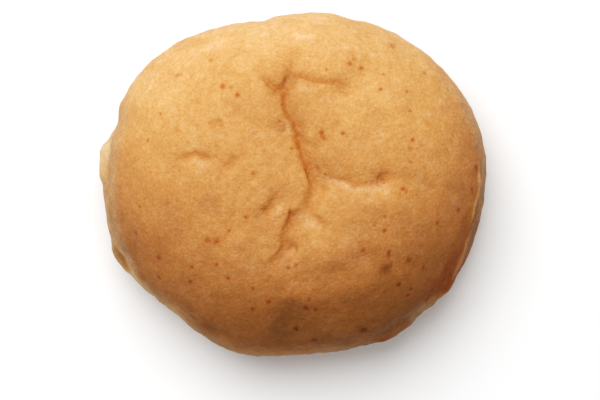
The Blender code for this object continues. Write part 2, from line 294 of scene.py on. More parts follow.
# The slow swells and hollows between the folds, in the same order
swells = [
    (18.5, -16.6, 1.57, 1.33, 178, 0.18), (14.3, -15.6, 1.54, 1.78, 1, -0.36),
    (15.7, -19.2, 4.75, 2.69, 68, 0.36), (5.3, -14.2, 4.15, 2.72, 121, 0.41),
    (-30, -9, 4.39, 2.72, 128, 0.24), (-10.9, -18.2, 5.57, 2.33, 127, 0.71),
    (17.1, 0.5, 3.93, 1.94, 112, -0.16), (2.6, -7.2, 5, 3.03, 116, -0.43),
    (-12, -8.8, 2.42, 2.4, 179, -0.56), (5.3, -0.9, 3.41, 1.55, 74, -0.65),
    (-1.5, 10.9, 2.46, 1.77, 97, -0.77), (12.4, -21.5, 5.17, 2.18, 19, 0.38),
    (16.5, -3.7, 4.33, 2.19, 164, 0.15), (7.4, -13.9, 3.98, 2.21, 129, 0.52),
    (-14.6, -20.8, 3, 3.07, 180, 0.51), (23.7, -10.7, 5.1, 2.51, 85, 0.44),
    (-21.6, -15.8, 4.5, 2.78, 107, 0.47), (2, -4.4, 4.66, 2.15, 127, -0.31),
    (18.4, -14.8, 3.32, 1.6, 85, 0.35), (-27.9, -8.9, 4.43, 3.15, 122, 0.49),
    (-30.7, -10.7, 3.62, 1.71, 128, 0.26), (-2.6, -19.4, 6.05, 2.24, 170, -0.28),
    (14.9, 0.2, 3.81, 1.91, 143, -0.17), (6.7, -2.4, 4.23, 2.17, 126, -0.51),
    (27.2, 1.9, 5.9, 1.99, 170, 0.41), (-20.5, 3.5, 3.89, 2, 5, -0.54),
    (3.5, -15.3, 3.01, 2.11, 108, 0.39), (10.5, 18.3, 4.57, 2.56, 96, -0.39),
    (16.7, -12.3, 3.61, 1.7, 0, 0.3), (20.5, -18, 4.24, 1.86, 130, 0.38),
    (-4.4, -1.5, 3.89, 2.74, 49, 0.35), (-1.5, -22.7, 3.4, 2.24, 66, 0.53),
    (-30.2, -7, 4.62, 2.81, 139, 0.28), (21.3, -6.7, 4.62, 1.97, 92, 0.51),
    (27.6, -16.5, 4.37, 3.2, 59, -0.32), (3.6, 12.1, 4.31, 2.28, 109, 0.65),
    (4.2, -2.7, 3.35, 1.3, 69, -0.7), (-5.2, -9.7, 4.81, 1.96, 111, -0.69),
    (-28.6, 0.8, 2.55, 2.25, 2, 0.36), (15.3, -5.6, 5.04, 2.3, 36, 0.23),
    (0.9, -9, 3.58, 1.58, 109, -0.43), (3.1, 9.6, 4.66, 1.93, 29, 0.5),
    (-19, -3, 4.3, 2.43, 40, 0.42), (-0.2, 5.5, 3.97, 1.61, 88, -0.48),
    (-1.5, 22.5, 3.66, 1.6, 29, 0.14), (-5.7, 19.8, 3.64, 1.6, 92, 0.45),
    (31.7, 5.8, 3.6, 1.64, 85, -0.21), (-14.8, -11.7, 3.69, 1.46, 30, -0.26),
    (10, -3.7, 3.73, 1.6, 149, -0.36), (13.5, 11.7, 3.73, 1.62, 33, 0.28),
    (0.5, 23.3, 2.17, 2.16, 180, 0.26), (15, 20.3, 3.71, 1.63, 85, -0.36),
    (1, -12.7, 3.62, 1.53, 58, -0.32), (15.2, 2.3, 3.56, 1.6, 122, -0.18),
    (-10.7, 2, 3.83, 1.54, 53, 0.32), (21.8, -20.3, 3.7, 1.6, 28, 0.15),
    (-31.3, -2, 2.21, 2.16, 180, 0.13),
]

# The crown's edge in plan, in mm, once round to the left from the right side: inside it is the
# brown crown, outside it the paler flank. Where an ear of crust sticks out, it runs along the
# outline. Its bands say how wide the change of colour is, where the edge is crisp and elsewhere.
crownEdge = {
    "stops": [
        (38.3, -0.5), (38.1, 4), (37.6, 7.1), (36.3, 10.4), (34.4, 14.3), (32.1, 17.7),
        (29.4, 21.4), (26.4, 24.5), (22.9, 27.4), (19.5, 29.7), (15.8, 31.6), (11.6, 32.8),
        (6.5, 33.6), (1.4, 33.9), (-3.2, 33.3), (-7.9, 32), (-12.6, 31.2), (-17.1, 29.7),
        (-21.2, 28.1), (-24.9, 25.8), (-28.2, 22.7), (-30.8, 19.4), (-32.7, 16.1), (-33.7, 12.8),
        (-34.5, 10), (-35.5, 7.1), (-35.9, 2), (-35.8, -3.2), (-35.4, -8.3), (-34.8, -11),
        (-33.8, -13.4), (-32.5, -16.1), (-31.2, -18.4), (-29.5, -20.4), (-25.4, -24),
        (-20.7, -27.9), (-18, -30.2), (-15.1, -31.8), (-11.8, -33.2), (-8.5, -34.3), (-5.9, -34.7),
        (-1.7, -34.5), (6.5, -33.7), (14.2, -32.2), (17.5, -32.4), (20.1, -31.8), (22.3, -30.4),
        (23.8, -28.7), (24.2, -26.8), (26.1, -25), (28.4, -23.3), (29.8, -22.4), (31.9, -22),
        (33, -20.9), (33.2, -19.4), (34.1, -17.3), (35.2, -15.1), (35.4, -12.4), (36.1, -10.4),
        (36.5, -7.7), (37.1, -5.2), (37.8, -3.2),
    ],
    "steps": 6,
    "crispBand": 0.22,
    "softBand": 1.1,
}

# The forms of the side, in mm in plan: path, half width on the left and on the right, height, how
# much is left at the ends, and the heights between which it lies
rimStops = [
    (37, 9.8), (37.6, 7.1), (38, 4), (38.2, 1.8), (38.3, -0.5), (37.8, -3.2), (37.1, -5.2),
    (36.5, -7.7), (36.1, -10.4), (35.4, -12.4),
]
slitStops = [
    (-37.4, -12.4), (-36.5, -14), (-35.8, -15.1), (-34.6, -16.7), (-33.5, -18.5), (-32.3, -20),
    (-30.6, -21.6),
]
sideLines = {
    "rim": (rimStops, 0.3, 0.5, 0.26, (0, 0.6), (9, 40)),
    "rim, step": (beside(rimStops, 0.6), 0.6, 0.3, -0.5, (0, 0.3), (9, 40)),
    "ear, groove": (
        [(36.6, -9.1), (35.6, -11.2), (34.9, -12.9), (34.3, -14.5), (33.3, -16.1), (32.5, -17.9),
         (31.4, -19.9), (30.2, -21.4)],
        0.6, 1.3, -0.17, (0, 0.5), (9, 40)),
    "ear, lip": (
        [(36.2, -11), (35.3, -13.1), (34.7, -15), (33.7, -17.2), (33, -19.1), (32.6, -20.6),
         (31.6, -21.6)],
        0.5, 0.4, 0.22, (0, 0.8), (7, 40)),
    "strip, edge": (
        [(30.2, -23.2), (28.3, -24.5), (26.5, -26.4), (25.1, -27.9)],
        0.35, 0.3, 0.22, (0.3, 0), (9, 40)),
    "strip, hollow": (
        [(29.6, -22.4), (27.6, -23.7), (25.8, -25.4), (24.4, -27)],
        0.35, 0.6, -0.3, (0.2, 0), (9, 40)),
    "front ear, groove": (
        [(24.4, -26.4), (23, -28.1), (20.8, -29.7), (18.3, -30.8), (15.8, -31.6)],
        0.4, 0.9, -0.45, (0.2, 0), (7, 40)),
    "front ear, lip": (
        [(24, -29.1), (22.3, -30.5), (20.5, -31.5), (18.4, -32.3), (16.4, -32.8)],
        0.6, 0.5, 0.35, (0.6, 0), (6, 40)),
    "slit": (slitStops, 0.5, 0.3, -0.32, (0.6, 0), (5, 20)),
    "slit, lip": (beside(slitStops, -0.9), 0.5, 1.4, 0.35, (0.9, 0), (2, 16)),
    "lobe, groove": (
        [(-38.5, 9.4), (-38.2, 7.2), (-38.4, 5.1), (-38.6, 3.1), (-38.7, 1), (-38.9, -1.1)],
        0.6, 0.35, -0.45, (0.5, 0), (6, 40)),
    "lobe": (
        [(-39.6, 8), (-40, 6.3), (-40.2, 4.2), (-40, 2.1), (-39.6, 0)],
        0.8, 1.4, 0.4, (0.7, 0), (4, 40)),
}

# The outline is trimmed by low swells and dents round the side: azimuth, half width, mm outward
outlineTrim = [
    (157, 4, 0.6), (162, 3, 0.2), (174, 7, 0.35), (191, 5, 0.3), (200, 4, 0.35), (210, 5, 1.1),
    (95, 6, 0.35), (112, 10, -0.35), (134, 5, -0.4), (48, 13, -0.4), (71, 5, -0.55), (12, 9, 0.3),
    (100.5, 2.5, -0.45), (118, 3.5, -0.35), (262, 14, -0.25), (285, 4, 0.25), (298, 6, -0.5),
    (304, 3, -0.4), (316, 3, -0.1), (323, 3, -0.7), (340, 10, 0.65), (355, 5, 0.2),
]

# Where the crust is tinted, in mm in plan. The bake is palest in a turned oval and browner round
# it and towards the front, partly real browning and partly painted shade where the crust turns
# away from the light; the toast spots add to it or take from it, some as real toast, some as
# painted shade in hollows and some as painted light on lit places. Spots: x, y, radius and
# strength. Strips: path, half width on the left and on the right, how much is left at the ends,
# strength, and the lowest height. Sides: ovals on the wall, by azimuth and half width in degrees,
# height and half height, how far outside the crown's edge they start, and strength. Loose freckles
# lie inside the crown's edge and in front of a line that leans a little.
tints = {
    "paleMiddle": (-1.9, 16.2),
    "paleRadii": (39.9, 36.4),
    "paleTurn": 12.8,
    "browningAndShadeStartEnd": (0.69, 1.55),
    "palestBake": 0.244,
    "roundBakeAndShade": 0.664,
    "frontBakeAndShade": 0.207,
    "halfDepth": 36,
    "bakeRagged": 0.05,
    "toastAndShadingSpots": [
        (1.4, 11.7, 1.1, 0.13), (12.8, -1.1, 2, -0.05), (17.2, -1.1, 2, -0.06),
        (-11, -9.2, 2, -0.05), (-16.5, -13.2, 2.4, 0.05), (14.2, -15.4, 2, -0.06),
        (4.8, 9.3, 2, 0.06), (9.2, 2.7, 2, 0.05), (-1.6, 11.7, 1.3, 0.12), (-0.5, -28.6, 2, 0.05),
        (38.6, -1, 1.2, 0.14), (38.2, -4.5, 1.2, 0.14), (37.4, -8, 1, 0.12),
        (-17.8, -29.5, 1.6, 0.1), (-6.4, -32.4, 2, -0.06), (-9.5, -31.8, 2.6, -0.12),
        (2, -31.3, 2.4, -0.13), (11, -30.5, 2.4, -0.14), (-13.7, -29.1, 2.2, -0.06),
        (8.6, -24.2, 3, 0.06), (14.1, -24.4, 3, 0.06), (-0.7, -27.9, 2.5, 0.1),
        (19.9, -13.4, 2.5, 0.05), (-24.9, -11.8, 3, 0.06), (24.7, 1.5, 3, 0.05),
        (-23.3, 16.5, 3, -0.07), (-27.2, 15.3, 2.4, -0.06), (-19.4, 16, 2.4, -0.05),
        (5.6, -8.9, 2, -0.07), (-4, -6.2, 1.6, -0.06), (-10.8, 11.7, 1.8, -0.06),
        (-20.3, 4.5, 2, -0.05), (15.6, -1.1, 2.6, -0.08), (-24, -23.2, 2.4, -0.06),
        (1.4, 8.1, 1, 0.1), (0, 21.5, 1, 0.12), (3.2, 11.5, 1.6, 0.06), (-3.3, -2.9, 1.2, 0.1),
        (3.8, 3.9, 1.2, 0.12), (-0.5, -28.1, 3, 0.04), (-24.5, 15.9, 4, 0.05),
        (-25.9, -19.3, 3, -0.05), (-20.7, -24.8, 3, -0.05), (-17.5, 5.5, 1.5, 0.1),
        (-7.2, 10.3, 1.6, 0.08), (-16.9, -3.8, 2.2, 0.07), (-24, -5.6, 3, 0.07),
        (-15.5, -25.9, 3, -0.06), (-2.3, -21.3, 2.6, 0.05), (-0.7, -27.7, 2.6, 0.05),
        (-2.6, -15.6, 3, -0.05), (6.4, -3.2, 3.4, -0.06), (-4.9, 16.9, 2.6, -0.05),
        (16.6, -11.6, 3, -0.04), (-11.1, 15.9, 3.5, 0.08), (9.2, -32.5, 1, 0.1),
        (5.8, 17.1, 1.4, 0.08), (23.1, 7.1, 2.2, 0.09), (24.9, 1.3, 2, 0.07),
        (10.2, 22.5, 2.4, 0.1), (13.5, 25.4, 2.2, 0.1), (-19.2, 18.8, 3, 0.07),
        (-16.5, -3.6, 2.2, 0.08), (0, 26.2, 1.7, 0.14), (-14.2, 30.7, 2.6, -0.1),
        (-8.9, 31.5, 2.6, -0.1), (1.8, 30, 2.4, -0.11), (-4.8, 30.3, 3, -0.08),
        (-32, 20.3, 4, -0.06), (-32, 8.9, 3, -0.06), (-22.3, 25.2, 3.5, -0.05),
        (10.8, 16.9, 3, -0.07), (10.2, -10.8, 2.4, -0.09), (-20.3, 4.1, 2.2, -0.09),
        (7.9, -27.9, 2.4, -0.08), (-2.6, 20.9, 3, 0.12), (9.6, 19.6, 1.8, 0.12),
        (18.1, -16.9, 1.2, 0.06), (17.3, 1.4, 1.6, 0.15), (14, -10, 7, 0.05),
        (-22, -25.5, 2.2, 0.1), (-15.5, -29.5, 2.4, 0.08), (-32.6, -13, 2, 0.1),
        (-0.7, 16.2, 5, 0.15), (-27, 18, 8, -0.08), (-27, -6, 7, 0.06), (3.4, -10.3, 4, -0.09),
        (-0.7, -27.5, 3.5, 0.17), (-21, -21, 6, -0.06), (35.5, -9, 2.2, 0.04), (24, -26, 4, 0.06),
        (14.3, -29.6, 0.9, 0.15), (36.8, 2, 1.4, 0.08), (18.8, -16.8, 1.3, 0.1),
        (9.5, -16.6, 2.4, 0.05),
    ],
    "freckles": [
        (18, 0.9, 0.4, 0.5), (21.5, 11.7, 0.5, 0.4), (5.8, 9.5, 0.4, 0.5), (4, 28.5, 0.5, 0.35),
        (15.3, 30.2, 0.5, 0.35), (-22.8, 22.3, 0.4, 0.4), (36.9, -9, 0.6, 0.9),
        (36.6, -0.9, 0.5, 0.5), (-23.7, 22.1, 0.5, 0.5), (-23.6, 7.7, 0.4, 0.5),
        (19.3, -14.2, 0.45, 0.6), (28.7, -21.4, 0.8, 0.35), (16.2, -8.2, 0.35, 0.6),
        (18.4, -6.4, 0.35, 0.6), (22.7, -1.5, 0.4, 0.6), (3.2, 26, 0.4, 0.4),
        (31.7, 19.4, 0.4, 0.5), (6.2, 9.1, 0.5, 0.55), (6.4, 2, 0.35, 0.8), (18.3, 0.3, 0.25, 1),
        (18.5, -17, 1.3, 0.35), (-14.3, 19.8, 0.55, 0.9), (-12.5, 19.5, 0.4, 0.6),
        (-11.2, 17.9, 0.5, 0.9), (-16.7, 25.2, 0.4, 0.5), (-23.2, 22.4, 0.5, 0.45),
        (-26.9, 14.4, 0.4, 0.6), (-29.6, 9.1, 0.35, 0.6), (-20.5, 17, 0.3, 0.4),
        (11.4, 24.4, 0.6, 0.9), (13.7, 23.5, 0.5, 0.8), (12.3, 25.3, 0.35, 0.5),
        (6.8, 23.2, 0.35, 0.7), (18.2, 22.2, 0.35, 0.6), (17.7, 19.2, 0.45, 0.8),
        (23.1, 18.8, 0.35, 0.5), (5.7, 10.3, 0.55, 0.9), (10.1, 10.2, 0.5, 0.9),
        (23.6, 15, 0.4, 0.6), (24, 9, 0.45, 0.8), (23.4, 7.2, 0.5, 0.5), (23.7, 4.4, 0.35, 0.5),
        (22.1, -0.9, 0.45, 0.8), (-8.1, 2.3, 0.35, 0.9), (-0.55, -5.6, 0.5, 1),
        (-2.8, 12.6, 0.3, 0.8), (-2.2, 16, 0.3, 0.9), (-0.2, 7.2, 0.35, 0.8),
        (-9.4, -6.6, 0.4, 0.8), (18.2, -9.2, 0.45, 0.9), (14, -13.2, 0.5, 0.7),
        (19.2, -13.8, 0.45, 0.8), (23.3, -15.2, 0.6, 0.6), (26.4, -16.9, 0.4, 0.8),
        (21.4, -20.3, 0.5, 0.8), (24, -21.2, 0.4, 0.8), (23.3, -22.5, 0.4, 0.7),
        (-0.9, -16.6, 0.45, 0.9), (0.6, -16.2, 0.4, 0.6), (-5, -23.7, 0.5, 0.9),
        (2.4, -24.9, 0.6, 0.9), (4.6, -25.2, 0.45, 0.9), (3.3, -23.2, 0.35, 0.7),
        (-8.2, -25, 0.45, 0.7), (-8, -20.8, 0.4, 0.7), (-13.2, -19, 0.45, 0.9),
        (-20.5, -16.7, 0.4, 0.9), (-15.2, -16.1, 0.4, 0.8), (-27.4, -14.8, 0.45, 0.8),
        (-27.4, -19, 0.5, 0.9), (-20.8, -19.6, 0.45, 0.7), (-31.9, -9.8, 0.45, 0.8),
        (-29.9, 3, 0.3, 0.4), (14.5, -29.6, 0.8, 0.7), (4.3, -31.8, 0.55, 0.8),
        (0.6, -29.4, 0.5, 1), (29.2, -7.8, 0.4, 0.8), (33.6, -5.2, 0.4, 0.8),
        (20.2, 28.4, 0.8, 0.5), (26.8, 22.8, 0.5, 0.5), (-31.2, -4.5, 0.35, 0.5),
        (37.4, 3.4, 0.7, 0.7), (-17.2, -11.2, 0.5, 0.6), (-15.4, -11.5, 0.4, 0.6),
        (-12.9, -9.3, 0.35, 0.6),
    ],
    "freckleGain": 1.3,
    # Pale spots: pale stretched skin and painted highlights where the light catches
    "paleAndHighlightSpots": [
        (28.6, -23.6, 1.1, 0.6), (26.3, -25.2, 1.2, 0.5), (23.8, -26.8, 1.2, 0.4),
        (18, -0.2, 0.9, 1), (15.4, -1, 1, 0.55), (13, -1.2, 0.9, 0.6), (-3.2, -5.7, 0.8, 0.4),
        (-2.8, -4.8, 0.6, 0.5), (1.4, -6.4, 0.8, 0.45), (17.6, 0.1, 0.6, 0.9),
        (7.7, -27.7, 0.7, 0.4), (3, -6.9, 0.9, 0.4), (4.2, -7.9, 0.8, 0.4), (-4, -6, 0.8, 0.36),
        (1.6, 19.6, 1.2, 0.27), (3.4, 18.9, 1.2, 0.24), (4.8, -8.5, 0.8, 0.3),
        (9.1, 26.2, 0.7, 0.3), (-26.8, 25.5, 0.8, 0.24), (-1.8, -13.6, 0.8, 0.3),
        (33.5, 6.6, 0.8, 0.3), (29.8, 14.1, 1.2, 0.18), (-35.4, -9.5, 1.2, 0.18),
        (-4.9, -27, 0.9, 0.18), (3.4, -27, 0.9, 0.18), (15.4, -1.5, 0.6, 0.3),
        (7.6, 16.5, 1.2, 0.3), (5.8, 16.9, 0.8, 0.24), (10.6, -11, 0.9, 0.36),
        (14, -15.4, 0.8, 0.42), (12.4, -0.9, 0.9, 0.42), (13.8, -1.3, 0.8, 0.36),
        (15.8, -0.9, 0.8, 0.36), (17.4, -0.1, 1, 0.6), (18.8, -0.7, 0.8, 0.36),
        (-19.9, 4.9, 0.8, 0.42), (1.8, 30, 0.9, 0.42), (4, 30.2, 0.7, 0.36), (-1.5, 29, 0.8, 0.36),
        (-8.3, 31.1, 0.9, 0.36), (-5.6, 30.8, 0.8, 0.3), (-12.8, 31.9, 0.8, 0.3),
        (-22.8, 29.1, 0.9, 0.3), (-27.1, -21, 0.8, 0.3), (2.4, 5.5, 0.3, 0.48),
        (2.6, 1.9, 0.35, 0.54), (1, 9.3, 0.3, 0.54), (-18.1, 4.3, 1.1, 0.3), (13.1, 26, 0.6, 0.3),
        (16, 25.9, 0.8, 0.3), (10.5, 27.9, 0.8, 0.24), (19.9, 26, 0.8, 0.24),
        (5.3, 33.8, 1.6, 0.35), (-15.8, 28.3, 1.8, 0.3), (18, -0.7, 0.5, 0.7),
        (18.6, -1.5, 0.6, 0.5),
    ],
    "strips": {
        # Along the right rim: partly pale crust, partly a painted highlight on the lit edge
        "creamAndHighlight": [(
            [(38, 5.5), (38.1, 2.6), (38.1, -0.5), (37.5, -3.2), (37, -5.2), (36.6, -7.4)],
            0.3, 0.3, (0, 0.7), 0.65, 12)],
        "edge": [(
            [(36.3, -9.9), (36, -10.9), (35.5, -12.7), (34.7, -14.7), (33.9, -16.9), (33.2, -18.6),
             (32.4, -20.2)],
            0.42, 0.32, (0.1, 0), 0.9, 14)],
    },
    "sides": {
        "creamAndHighlight": [(171, 10, 14.5, 5.5, 2.9, 0.6), (197, 11, 14.5, 5.5, 0.4, 0.5),
                  (210, 9, 15, 5, 0.3, 0.75), (317, 9, 16.5, 5, 0.1, 0.45),
                  (225, 7, 17, 4, -0.4, 0.45)],
        # The ears' ovals: browner crust and painted shade in the groove under the ear
        "ear": [(332, 12, 18.5, 6, -3.0, 1.3), (304, 10, 17.5, 4.5, -0.6, 0.85)],
        "edge": [(260, 34, 17, 4.5, -1.4, 1.0)],
    },
    "looseFreckles": 190,
    "looseRadii": (0.3, 0.55),
    "looseStrengths": (0.15, 0.6),
    "looseInside": 1.0,
    "looseLean": 0.3,
    "looseBack": 26,
    "looseHeight": 10,
    "seed": 11,
}

# The skin: the solid's own shape with small even faces, one large face under the base, and finer
# faces where the crust has folds and spots
skin = {
    "mergeDistance": 0.01 * mm,
    "softenLevels": 2,
    "faceSize": 0.5 * mm,
    "baseHeight": 0.3 * mm,
    "baseFacing": -0.95,
    "fineFacing": -0.2,
    "fineHeight": 3,
    "lineReach": 1.2,
    "lineMargin": 0.5,
    "dimpleReach": 1.3,
    "freckleReach": 1.2,
    "freckleMargin": 0.2,
}


def copyPiece(source, name):
    piece = bpy.data.objects.new(name, source.data.copy())
    bpy.context.scene.collection.objects.link(piece)
    piece.data.materials.clear()
    return piece


def nearForms(places):
    near = np.zeros(len(places), bool)
    for stops, left, right, *_ in [*folds.values(), *sideLines.values()]:
        reach = skin["lineReach"] * max(left, right) + skin["lineMargin"]
        index, distance, _, _ = alongPath(places, stops, reach)
        near[index[distance < reach]] = True
    spots = [(spotX, spotY, skin["dimpleReach"] * max(radiusX, radiusY))
             for spotX, spotY, radiusX, radiusY, *_ in dimples]
    spots += [(spotX, spotY, skin["freckleReach"] * size + skin["freckleMargin"])
              for spotX, spotY, size, _ in tints["freckles"]]
    for spotX, spotY, reach in spots:
        near |= np.hypot(places[:, 0] - spotX, places[:, 1] - spotY) < reach
    return near


def makeSkin():
    guide = copyPiece(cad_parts["bun"], "guide")
    makeActive(guide)
    bpy.ops.object.mode_set(mode="EDIT")
    bpy.ops.mesh.select_all(action="SELECT")
    bpy.ops.mesh.remove_doubles(threshold=skin["mergeDistance"])
    bpy.ops.mesh.tris_convert_to_quads()
    bpy.ops.object.mode_set(mode="OBJECT")
    levels = skin["softenLevels"]
    applyModifier(guide, "SUBSURF", "soften", levels=levels, render_levels=levels)
    piece = copyPiece(guide, "bun_crust")
    applyModifier(piece, "REMESH", "even faces", mode="VOXEL", voxel_size=skin["faceSize"])
    faces = piece.data.polygons
    height, facing = readRows(faces, "center")[:, 2], readRows(faces, "normal")[:, 2]
    chooseFaces(piece, (height < skin["baseHeight"]) & (facing < skin["baseFacing"]))
    bpy.ops.mesh.dissolve_faces()
    bpy.ops.object.mode_set(mode="OBJECT")
    faces = piece.data.polygons
    centers, facing = readRows(faces, "center") / mm, readRows(faces, "normal")[:, 2]
    upper = (facing > skin["fineFacing"]) & (centers[:, 2] > skin["fineHeight"])
    chooseFaces(piece, nearForms(centers[:, :2]) & upper)
    bpy.ops.mesh.subdivide(number_cuts=1)
    bpy.ops.object.mode_set(mode="OBJECT")
    applyModifier(piece, "SHRINKWRAP", "on the solid", target=guide,
                  wrap_method="NEAREST_SURFACEPOINT")
    bpy.data.objects.remove(guide)
    piece.data.polygons.foreach_set("use_smooth", [True] * len(piece.data.polygons))
    piece.data.calc_loop_triangles()
    print("skin made,", len(piece.data.loop_triangles), "triangles")
    return piece


crust = makeSkin()
mesh = crust.data

# How the skin is shaped from the lists above, in mm. A face counts as on top or on the side by its
# normal's z. Waves are noise over the skin: strength, scale and seed.
relief = {
    "topFacing": (-0.1, 0.2),
    "sideFacing": (0.5, 0.9),
    "foot": (0.6, 4),
    "warps": [(0.35, 2.6), (0.16, 1.0)],
    "creasePower": 1.6,
    "ridgePower": 2.0,
    "tintShare": 0.85,
    "tintMargin": 0.2,
    "heightBand": 1,
    "sideWaves": [(0.22, 3.4, 5.7), (0.12, 1.5, 2.9)],
    "trimHeight": 11,
    "trimHalfHeight": 6,
    "grainWaves": [(0.12, 4.2, 3.1), (0.10, 1.8, 7.7)],
}

# The fine wrinkles, in mm: slanting ones left of the long crease and at the front, and level ones
# above them. Zones: middle and radii. Scales: along the wrinkles, across them and upward.
wrinkles = {
    "height": 0.15,
    "slantTurn": 45,
    "slantScales": (4.2, 1.1, 4.0),
    "leftZone": (-6, 0, 11, 9),
    "frontZone": (-2, -14, 14, 8),
    "frontShare": 0.7,
    "elsewhere": 0.15,
    "levelLean": 0.3,
    "levelScales": (4.5, 1.2, 4.0),
    "levelZone": (-8, 13, 7, 4.5),
}

# Places on the skin, in mm
points = readRows(mesh.vertices, "co") / mm
normals = readRows(mesh.vertices, "normal")
x, y, z = points.T
plan = points[:, :2]
azimuth = np.degrees(np.arctan2(y, x)) % 360


def turnFrom(middle):
    return (azimuth - middle + 180) % 360 - 180


def waves(scale, seed):
    shift = Vector((seed, 2 * seed, -seed))
    return np.array([noise.noise(Vector(place) + shift) for place in points / scale])


def layered(layers):
    return sum(strength * waves(scale, seed) for strength, scale, seed in layers)


# The plan a little warped, so that no line runs even
def warpedPlan():
    warped = plan
    for strength, scale in relief["warps"]:
        moves = np.array([noise.noise_vector(Vector(place)) for place in points / scale])
        warped = warped + strength * moves[:, :2]
    return warped


# Folds push the skin and tint it: caramel and painted shade in creases, painted highlight on lips
def pressFolds(places):
    push = np.zeros(len(points))
    caramelAndShade = np.zeros(len(points))
    stretchedAndHighlight = np.zeros(len(points))
    share, margin = relief["tintShare"], relief["tintMargin"]
    for stops, left, right, height, ends, browning in folds.values():
        power = relief["creasePower"] if height < 0 else relief["ridgePower"]
        push += height * lineMask(places, stops, left, right, ends, power)
        tint = lineMask(places, stops, share * left + margin, share * right + margin, ends)
        caramelAndShade = np.maximum(caramelAndShade, browning * tint)
        stretchedAndHighlight = np.maximum(stretchedAndHighlight, -browning * tint)
    for *form, up in [*dimples, *swells]:
        push += up * bumpMask(places, *form)
    onTop = ease(normals[:, 2], *relief["topFacing"])
    return push * onTop, caramelAndShade * onTop, stretchedAndHighlight * onTop


def makeTree(places):
    tree = kdtree.KDTree(len(places))
    for index, place in enumerate(places):
        tree.insert(place, index)
    tree.balance()
    return tree


# How far outside the crown's edge, in mm in plan
def outsideCrown():
    path = smoothPath(crownEdge["stops"], crownEdge["steps"], True)
    way = np.gradient(path, axis=0)
    tree = makeTree([(pathX, pathY, 0) for pathX, pathY in path])
    outside = np.empty(len(points))
    for index, (placeX, placeY) in enumerate(plan):
        _, best, distance = tree.find((placeX, placeY, 0))
        offX, offY = placeX - path[best, 0], placeY - path[best, 1]
        rightward = way[best, 1] * offX - way[best, 0] * offY
        outside[index] = math.copysign(distance, rightward)
    return outside


def shapeSide():
    push = np.zeros(len(points))
    band = relief["heightBand"]
    for stops, left, right, height, ends, (lowest, highest) in sideLines.values():
        above = ease(z, lowest - band, lowest + band)
        below = 1 - ease(z, highest - band, highest + band)
        push += height * lineMask(plan, stops, left, right, ends) * above * below
    onSide = 1 - ease(normals[:, 2], *relief["sideFacing"])
    push += layered(relief["sideWaves"]) * onSide
    trimBand = bell(z - relief["trimHeight"], relief["trimHalfHeight"])
    for middle, halfWidth, out in outlineTrim:
        push += out * bell(turnFrom(middle), halfWidth) * trimBand * onSide
    return push


def zone(middleX, middleY, radiusX, radiusY):
    return bell(np.hypot((x - middleX) / radiusX, (y - middleY) / radiusY), 1)


def wrinkle(columns, scales):
    places = np.column_stack([*columns, z]) / np.array(scales)
    return wrinkles["height"] * np.array([noise.noise(Vector(place)) for place in places])


def fineSkin():
    lean = wrinkles["levelLean"]
    front = wrinkles["frontShare"] * zone(*wrinkles["frontZone"])
    slanting = np.clip(zone(*wrinkles["leftZone"]) + front + wrinkles["elsewhere"], 0, 1)
    push = wrinkle(turned(x, y, wrinkles["slantTurn"]), wrinkles["slantScales"]) * slanting
    level = wrinkle((x + lean * y, y - lean * x), wrinkles["levelScales"])
    return push + level * zone(*wrinkles["levelZone"]) + layered(relief["grainWaves"])


outside = outsideCrown()
foldPush, caramelAndShade, stretchedAndHighlight = pressFolds(warpedPlan())
push = (foldPush + shapeSide() + fineSkin()) * ease(z, *relief["foot"])
boxLow, boxHigh = [np.array(corner) / mm for corner in cadBox]
shaped = np.clip(points + normals * push[:, None], boxLow, boxHigh)
mesh.vertices.foreach_set("co", (shaped * mm).ravel())
mesh.update()
print("skin shaped, its pushes run from", push.min(), "to", push.max(), "mm")

# Where the masks start and how they fade: heights in mm, and azimuths with half widths in degrees.
# The crown's edge is crisp in one sector, and at the back the crown turns over without one.
fades = {
    "raggedWaves": [(0.8, 5.0, 1.3), (0.35, 1.6, 9.1)],
    "crispSector": (350, (-34, -28), (22, 50)),
    "backSector": (95, (-85, -50), (50, 75)),
    "underFacing": (-0.15, 0.1),
    "lowHeight": 8.5,
    "lowRises": [(173, 10, 3.5), (210, 9, 3.5), (321, 5, 3.5)],
    "lowRagged": 2.2,
    "lowFade": (-3, 4),
    "paleRise": (262, 45, 6),
    "paleFade": (-4, 6),
    "paleShare": 0.55,
    "flankStart": 0.4,
    "flankLater": 0.8,
    "flankRagged": 0.5,
    "flankWaves": [(0.35, 9.0, 4.4)],
    "flankBackShare": 0.9,
    "stripPower": 3.0,
    "stripRagged": 2,
    "stripFade": (-2, 1.5),
    "ovalRagged": 0.7,
    "ovalStartRagged": 0.5,
    "ovalStartBand": 0.6,
    "edgeOverEar": 0.8,
    "spotFacing": 0.05,
    "spotHeight": 8,
    "spotReach": 2.0,
    "spotRagged": 0.4,
    "spotScale": 0.55,
}


# The listed spots moved onto the skin: their middles, radii and strengths
def onSkin(spots, gain=1):
    top = np.nonzero((normals[:, 2] > fades["spotFacing"]) & (z > fades["spotHeight"]))[0]
    found = []
    for spotX, spotY, size, strength in spots:
        nearest = np.argmin((shaped[top, 0] - spotX) ** 2 + (shaped[top, 1] - spotY) ** 2)
        found.append((shaped[top[nearest]], size, min(gain * strength, 1)))
    return found


def paintSpots(tree, spots):
    mask = np.zeros(len(points))
    for middle, size, strength in spots:
        for _, index, distance in tree.find_range(Vector(middle), fades["spotReach"] * size):
            ragged = noise.noise(Vector(shaped[index]) / fades["spotScale"])
            edge = distance / size * (1 + fades["spotRagged"] * ragged)
            mask[index] = max(mask[index], strength * math.exp(-edge ** 3))
    return mask


def sector(middle, start, end):
    turn = turnFrom(middle)
    return ease(turn, *start) * (1 - ease(turn, *end))


def rise(middle, halfWidth, height):
    return height * bell(turnFrom(middle), halfWidth)


